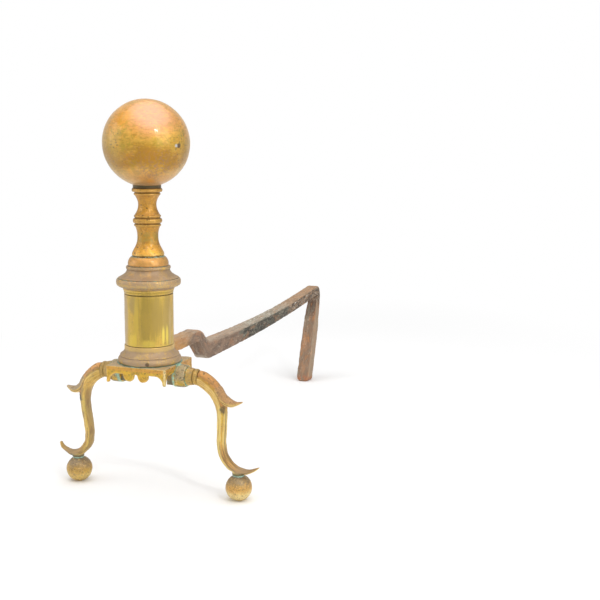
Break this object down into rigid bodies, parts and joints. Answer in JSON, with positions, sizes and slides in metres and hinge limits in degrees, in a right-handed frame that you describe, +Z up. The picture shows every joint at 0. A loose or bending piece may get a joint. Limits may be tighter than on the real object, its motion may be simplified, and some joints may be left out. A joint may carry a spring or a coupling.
{
  "type": "andiron",
  "caption": "Andiron with a turned brass column and ball on a scalloped plinth, spurred legs on ball feet, and a stepped iron billet bar running back to a rear leg.",
  "frame": {"origin": "on the floor, at the middle of the footprint of the whole andiron", "axes": "+Z up, +Y back along the billet bar from the column to the rear leg, +X to the right seen from the front"},
  "size_m": [0.2182, 0.582, 0.3806],
  "materials": {
    "ball_brass": "aged, worn bright, with orange and olive clouds",
    "shaft_brass": "aged, orange-gold with dark turned seams",
    "moulding_brass": "dull brown patina, rubbed at the edges",
    "drum_brass": "aged, olive-gold with vertical streaks",
    "plinth_brass": "worn, golden aprons and a dull brown top",
    "leg_brass": "cast and filed, worn gold over brown",
    "foot_brass": "aged, scratched, with a green ring at the seat",
    "green_brass": "verdigris over brown",
    "bar_iron": "wrought, rust-brown with grey scale",
    "rod_iron": "wrought, dark rust"
  },
  "bodies": {
    "root": {"ball": "ball_brass", "shaft": "shaft_brass", "cap": "moulding_brass", "drum": "drum_brass", "base_moulding": "moulding_brass", "plinth": "plinth_brass", "left_leg": "leg_brass", "right_leg": "leg_brass", "left_foot": "foot_brass", "right_foot": "foot_brass", "left_leg_nut": "green_brass", "right_leg_nut": "green_brass", "billet_bar": "bar_iron", "tie_rod": "rod_iron", "rod_nut": "rod_iron", "rod_washer": "rod_iron"}
  },
  "joints": []
}
